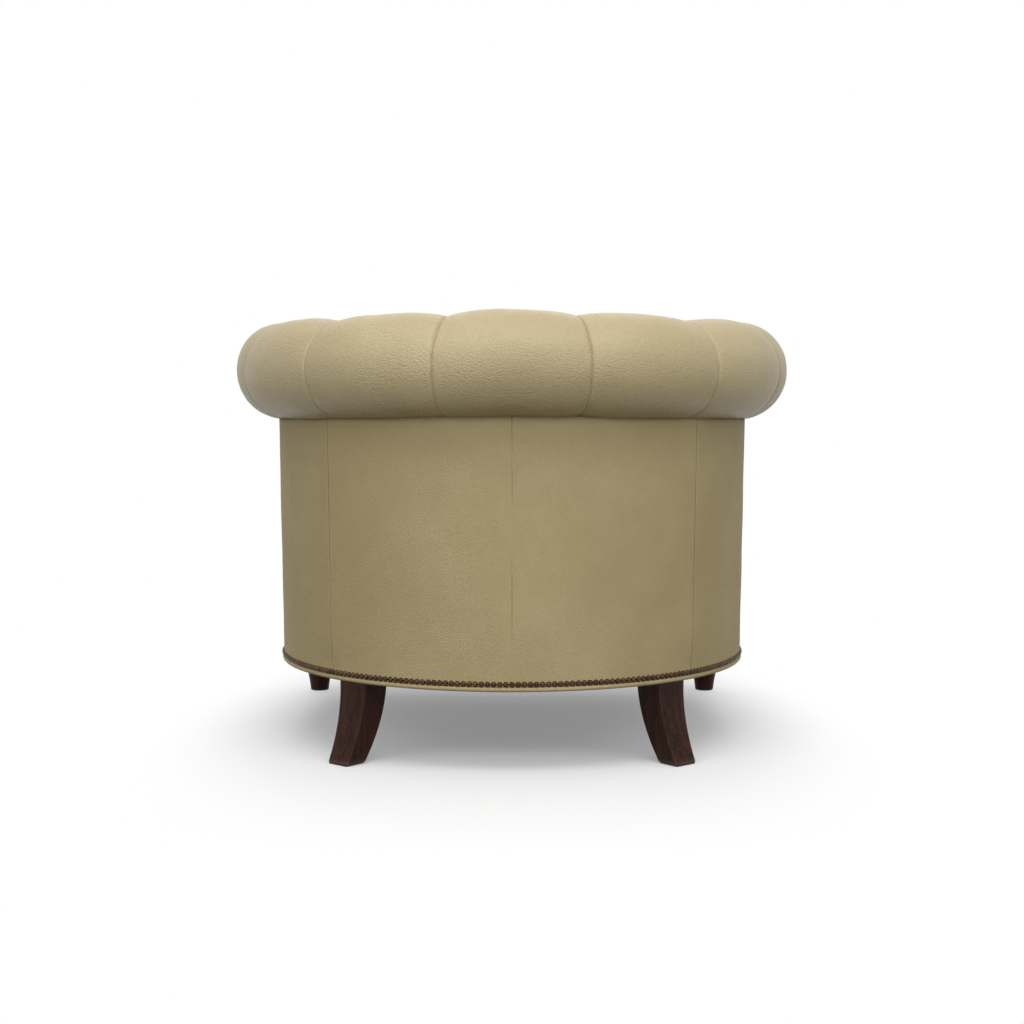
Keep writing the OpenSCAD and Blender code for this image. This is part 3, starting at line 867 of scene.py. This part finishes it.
def filled_case():
    """The cushion's case, blown up by its filling and held along its seams."""
    plan = cushion_plan(case_inset)
    middle = Vector((0, sum(p[1] for p in plan) / len(plan)))
    rings = [[Vector((p[0] * share, middle.y + (p[1] - middle.y) * share, cushion_low + up)) for p in plan]
             for share, up in case_steps]
    case = smooth_piece("seat_cushion_case", *lofted(rings), seat_leather)
    bpy.context.view_layer.objects.active = case
    case.data.remesh_voxel_size = voxel
    bpy.ops.object.select_all(action="DESELECT")
    case.select_set(True)
    bpy.ops.object.voxel_remesh()
    case.data.materials.append(seat_leather)
    held = case.vertex_groups.new(name="held")
    level = [(n, vertex) for n, vertex in enumerate(case.data.vertices)
             if min(abs(vertex.co.z - seam_low), abs(vertex.co.z - seam_high)) < seam_band]
    stitched = [n for n, vertex in level if min(math.dist(vertex.co[:2], p) for p in plan) < seam_reach]
    held.add(stitched, 1.0, "REPLACE")
    start = [vertex.co.copy() for vertex in case.data.vertices]
    cloth = case.modifiers.new("filling", "CLOTH")
    cloth.settings.vertex_group_mass = "held"
    cloth.settings.use_pressure = True
    cloth.settings.uniform_pressure_force = 4
    cloth.settings.shrink_min = -0.012
    cloth.settings.effector_weights.gravity = 0
    cloth.settings.quality = 4
    cloth.settings.tension_stiffness = 12
    cloth.settings.compression_stiffness = 12
    cloth.settings.bending_stiffness = 1.5
    for step in range(1, cloth_steps + 1):
        bpy.context.scene.frame_set(step)
    blown = case.evaluated_get(bpy.context.evaluated_depsgraph_get()).data
    ends = [vertex.co.copy() for vertex in blown.vertices]
    case.modifiers.remove(cloth)
    bpy.context.scene.frame_set(1)
    for vertex, a, b in zip(case.data.vertices, start, ends):
        move = b - a
        flat = Vector((move.x, move.y))
        if flat.length > most_out:
            move.x, move.y = flat * (most_out / flat.length)
        move.z = clamp(move.z, most_down, most_up)
        vertex.co = a + move
        vertex.co.z = max(vertex.co.z, cushion_low)
    finer = case.modifiers.new("finer", "SUBSURF")
    finer.levels = finer.render_levels = 1
    bpy.ops.object.modifier_apply(modifier="finer")
    case.data.polygons.foreach_set("use_smooth", [True] * len(case.data.polygons))
    return case


cushion = filled_case()
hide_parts("seat_cushion")
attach(cushion, "cushion")
for name, height in (("cushion_welt_low", seam_low), ("cushion_welt_high", seam_high)):
    path = [Vector((x, y, height)) for x, y in cushion_plan(welt_inset)]
    cord(name, path, welt_radius, panel_leather, "cushion")

# The legs are solid hardwood with a dark espresso finish, lighter on the edges from rubbing and
# a painted highlight, and bolted to the corner blocks. The back pair are square sabre legs that
# sweep outward; the front pair are turned.
leg_top = 0.134
glide_height = 0.001
back_leg_angle = math.radians(40.1)
back_leg_width = 0.059
back_leg_depth = 0.0531
back_foot_width = 0.046
back_foot_depth = 0.042
back_splay = 0.035
back_leg_out = wall_radius - 0.0065
front_leg_place = Vector((0.400, arm_front + 0.022, 0))
front_foot = 0.0185
front_big = 0.026
leg_edge = 0.0032
leg_rings = 32
foot_pinch = 0.0012
foot_pinch_start = 0.985
turned_sides = 56
espresso_dark = srgb(24, 9, 4)
espresso_red = srgb(52, 21, 10)
espresso_fibre = srgb(84, 46, 28)
rubbed_edge_and_highlight = srgb(112, 92, 82)


def leg_finish():
    material, shader, wood = finish("espresso_wood", Specular_IOR_Level=0.12)
    spot = wood.node("ShaderNodeTexCoord", output="Object")
    wander = wood.node("ShaderNodeTexNoise", output="Color", inputs={
        "Vector": spot, "Scale": 16.0, "Detail": 2.0})
    along = (spot + (wander - 0.5) * 0.006) * (1.0, 1.0, 0.045)
    fibre = wood.node("ShaderNodeTexNoise", inputs={
        "Vector": along, "Scale": 420.0, "Detail": 4.0, "Roughness": 0.65})
    band = wood.node("ShaderNodeTexNoise", inputs={"Vector": along, "Scale": 95.0, "Detail": 2.0})
    pore = wood.node("ShaderNodeTexNoise", inputs={"Vector": along * 2.0, "Scale": 900.0, "Detail": 1.0})
    tone = band.ramp(0.40, 0.66).mix(espresso_dark, espresso_red)
    tone = (fibre.ramp(0.46, 0.70) * 0.50).mix(tone, espresso_fibre)
    # Lighter on the edges: partly rubbed wear, partly a painted highlight where the bevels catch the light.
    worn_edge_and_highlight = wood.node("ShaderNodeNewGeometry", output="Pointiness").ramp(0.51, 0.56)
    tone = (worn_edge_and_highlight * 0.35).mix(tone, rubbed_edge_and_highlight)
    relief = wood.node("ShaderNodeBump", output="Normal", inputs={
        "Height": fibre * 0.6 - pore.ramp(0.60, 0.75) * 0.8, "Strength": 0.35, "Distance": 0.0004})
    feed(shader, Base_Color=tone, Roughness=0.34 + fibre * 0.22, Normal=relief)
    return material


espresso = leg_finish()


def sabre_leg(side):
    """One back leg: rings of a square section with softened edges, swept out and tapered."""
    cosine, sine = math.cos(back_leg_angle), math.sin(back_leg_angle)
    rings = []
    for k in range(leg_rings + 1):
        fall = k / leg_rings
        height = leg_top - (leg_top - glide_height) * fall
        sweep = fall ** 2
        outer = back_leg_out + back_splay * sweep
        inner = back_leg_out - back_leg_depth + (back_splay + back_leg_depth - back_foot_depth) * sweep
        half = (back_leg_width + (back_foot_width - back_leg_width) * fall) / 2
        pinch = foot_pinch * ease((fall - foot_pinch_start) / (1 - foot_pinch_start))
        ring = []
        for number, (x, y) in enumerate(((half, outer), (-half, outer), (-half, inner), (half, inner))):
            x, y = x - math.copysign(pinch, x), y - math.copysign(pinch, y - (outer + inner) / 2)
            centre = Vector((x - math.copysign(leg_edge, x),
                             y - math.copysign(leg_edge, y - (outer + inner) / 2)))
            for turn in range(5):
                a = math.radians(90 * number + 22.5 * turn)
                ring.append(centre + leg_edge * Vector((math.cos(a), math.sin(a))))
        rings.append([Vector((side * (p.x * cosine + p.y * sine), tub_y + p.y * cosine - p.x * sine, height))
                      for p in ring])
    return lofted(rings)


def turned_leg(side):
    """One front leg, turned: foot, vase, neck, ring and the round block under the rail.

    Each step of its shape is a radius and a share of the leg's height.
    """
    tall = leg_top - glide_height
    neck, calf = front_big * 0.66, front_foot + 0.7 * (front_big - front_foot)
    block = front_big - 0.001
    belly = front_big - calf
    shape = [(front_foot - foot_pinch, 0), (front_foot, foot_pinch / tall)]
    shape += [(front_foot + (calf - front_foot) * (k / 8) ** 1.4, 0.26 * k / 8) for k in range(1, 9)]
    shape += [(calf + belly * math.sin(math.radians(90 * k / 9)), 0.26 + 0.18 * k / 9)
              for k in range(1, 10)]
    shape += [(neck + (front_big - neck) * (1 + math.cos(math.pi * k / 14)) / 2, 0.44 + 0.24 * k / 14)
              for k in range(1, 15)]
    shape += [(neck, 0.72)]
    shape += [(neck + 0.001 + (front_big - neck - 0.003) * math.sin(math.pi * k / 14),
               0.73 + 0.035 * (1 - math.cos(math.pi * k / 14))) for k in range(15)]
    shape += [(neck, 0.81), (neck, 0.835), (front_big - 0.002, 0.865), (block, 0.875), (block, 1)]
    foot = Vector((side * front_leg_place.x, front_leg_place.y, glide_height))
    turns = [2 * math.pi * k / turned_sides for k in range(turned_sides)]
    return lofted([[foot + Vector((reach * math.cos(a), reach * math.sin(a), tall * rise)) for a in turns]
                   for reach, rise in shape])


for hand, side in (("left", 1), ("right", -1)):
    for name, made in (("back_leg_", sabre_leg), ("front_leg_", turned_leg)):
        leg = smooth_piece("espresso_" + name + hand, *made(side), espresso)
        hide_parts(name + hand)
        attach(leg, "chair")

# The frame keeps its own shapes and is seen only from below or with the cushion lifted: birch
# rails, posts and blocks, elastic webbing, foam under a cotton platform, dust cloth and bolts.


def dress(material, *names):
    """Gives CAD nodes their finish."""
    for name in names:
        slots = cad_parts[name].data.materials
        slots.clear()
        slots.append(material)


def birch_finish():
    material, shader, wood = finish("birch_frame", Specular_IOR_Level=0.35)
    spot = wood.node("ShaderNodeTexCoord", output="Object")
    ply = wood.node("ShaderNodeTexNoise", inputs={
        "Vector": spot * (1.0, 1.0, 14.0), "Scale": 26.0, "Detail": 3.0})
    knot = wood.node("ShaderNodeTexNoise", inputs={"Vector": spot, "Scale": 7.0, "Detail": 2.0})
    tone = ply.ramp(0.35, 0.70).mix(srgb(206, 178, 134), srgb(182, 148, 104))
    tone = (knot.ramp(0.60, 0.80) * 0.5).mix(tone, srgb(150, 112, 76))
    relief = wood.node("ShaderNodeBump", output="Normal", inputs={
        "Height": ply, "Strength": 0.25, "Distance": 0.0006})
    feed(shader, Base_Color=tone, Roughness=0.50 + ply * 0.20, Normal=relief)
    return material


# A wave texture's waves are this long, in metres, at a scale of 1.
unit_wave = 0.314


def woven_finish(name, light, dark, pitch, depth):
    """Plain woven cloth; pitch is the distance between two threads in metres."""
    material, shader, cloth = finish(name, Specular_IOR_Level=0.2)
    spot = cloth.node("ShaderNodeTexCoord", output="Object")
    waves = [cloth.node("ShaderNodeTexWave", {"bands_direction": way}, output="Fac", inputs={
                 "Vector": spot, "Scale": unit_wave / pitch, "Distortion": 0.6, "Detail": 1.0})
             for way in ("X", "Y")]
    slub = cloth.node("ShaderNodeTexNoise", inputs={"Vector": spot, "Scale": 60.0, "Detail": 3.0})
    weave = waves[0] * (1 - waves[1]) + waves[1] * (1 - waves[0])
    relief = cloth.node("ShaderNodeBump", output="Normal", inputs={
        "Height": weave, "Strength": depth, "Distance": pitch * 0.3})
    tone = (weave * 0.6 + slub * 0.4).ramp(0.2, 0.8).mix(dark, light)
    feed(shader, Base_Color=tone, Roughness=0.80 + slub * 0.15, Normal=relief)
    return material


def bolt_finish():
    material, shader, metal = finish("zinc_bolt", Metallic=1.0)
    spot = metal.node("ShaderNodeTexCoord", output="Object")
    thread = metal.node("ShaderNodeTexWave", {"bands_direction": "Z"}, output="Fac", inputs={
        "Vector": spot, "Scale": 250.0})
    haze = metal.node("ShaderNodeTexNoise", inputs={"Vector": spot, "Scale": 140.0, "Detail": 2.0})
    relief = metal.node("ShaderNodeBump", output="Normal", inputs={
        "Height": thread, "Strength": 0.6, "Distance": 0.0004})
    feed(shader, Base_Color=haze.ramp(0.3, 0.7).mix(srgb(176, 178, 180), srgb(206, 205, 200)),
         Roughness=0.28 + haze * 0.25, Normal=relief)
    return material


def glide_finish():
    material, shader, nylon = finish("glide_nylon", Specular_IOR_Level=0.4)
    spot = nylon.node("ShaderNodeTexCoord", output="Object")
    scratch = nylon.node("ShaderNodeTexNoise", inputs={"Vector": spot, "Scale": 700.0, "Detail": 2.0})
    tone = scratch.ramp(0.5, 0.8).mix(srgb(48, 44, 42), srgb(82, 78, 74))
    feed(shader, Base_Color=tone, Roughness=0.42 + scratch * 0.2)
    return material


dress(birch_finish(), "seat_rail", "front_rail", "back_block_left", "back_block_right", "front_block_left",
      "front_block_right", "arm_post_left", "arm_post_right", "side_upright_left", "side_upright_right",
      "quarter_upright_left", "quarter_upright_right", "back_upright_left", "back_upright_right", "top_rail")
dress(woven_finish("elastic_webbing", srgb(70, 66, 62), srgb(34, 32, 31), 0.0022, 0.6),
      "webbing_lengthwise", "webbing_crosswise")
dress(woven_finish("platform_cotton", srgb(206, 196, 170), srgb(170, 158, 130), 0.0014, 0.4), "seat_platform")
dress(woven_finish("dust_cloth", srgb(46, 45, 45), srgb(22, 22, 23), 0.0010, 0.3), "dust_cover")
dress(bolt_finish(), "leg_bolts")
dress(glide_finish(), "glides")
